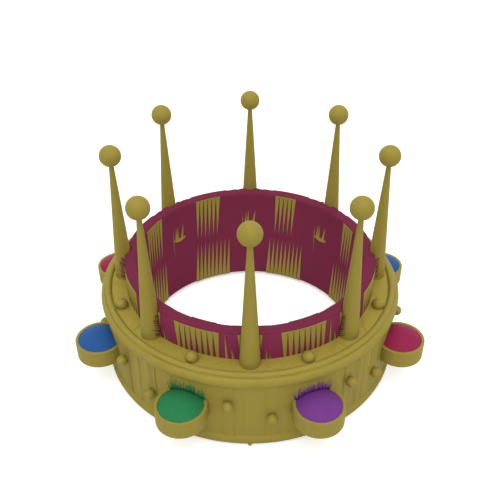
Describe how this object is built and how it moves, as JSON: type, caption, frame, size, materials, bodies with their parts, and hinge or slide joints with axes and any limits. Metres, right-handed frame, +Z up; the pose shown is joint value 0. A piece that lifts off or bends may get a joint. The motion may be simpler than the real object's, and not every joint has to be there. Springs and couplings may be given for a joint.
{
  "type": "crown",
  "caption": "Round gold crown with tall ball-tipped points, stone cups round its band and a padded crimson velvet head band.",
  "frame": {"origin": "centre of the foot ring, on the surface that the crown stands on", "axes": "+Z up along the crown's axis, -Y towards the front point and the picture's camera"},
  "size_m": [0.2802, 0.2802, 0.189],
  "materials": {
    "gold": "matte old gold",
    "velvet": "crimson velvet",
    "stone_purple": "opaque purple cabochon, satin",
    "stone_red": "opaque red cabochon, satin",
    "stone_blue": "opaque blue cabochon, satin",
    "stone_green": "opaque green cabochon, satin"
  },
  "bodies": {
    "root": {"foot_ring": "gold", "ledge_ring": "gold", "band_wall": "gold", "ledge_wire": "gold", "velvet_band": "velvet", "point_1": "gold", "point_2": "gold", "point_3": "gold", "point_4": "gold", "point_5": "gold", "point_6": "gold", "point_7": "gold", "point_8": "gold", "ball_1": "gold", "ball_2": "gold", "ball_3": "gold", "ball_4": "gold", "ball_5": "gold", "ball_6": "gold", "ball_7": "gold", "ball_8": "gold", "cup_1": "gold", "cup_2": "gold", "cup_3": "gold", "cup_4": "gold", "cup_5": "gold", "cup_6": "gold", "cup_7": "gold", "cup_8": "gold", "ledge_stud_1": "gold", "ledge_stud_2": "gold", "ledge_stud_3": "gold", "ledge_stud_4": "gold", "ledge_stud_5": "gold", "ledge_stud_6": "gold", "ledge_stud_7": "gold", "ledge_stud_8": "gold", "stone_1": "stone_purple", "stone_2": "stone_red", "stone_3": "stone_blue", "stone_4": "stone_green", "stone_5": "stone_purple", "stone_6": "stone_red", "stone_7": "stone_blue", "stone_8": "stone_green", "point_nuts": "gold", "wall_studs": "gold", "upper_combs": "gold", "lower_combs": "gold", "outer_combs": "gold", "claws": "gold"}
  },
  "joints": []
}
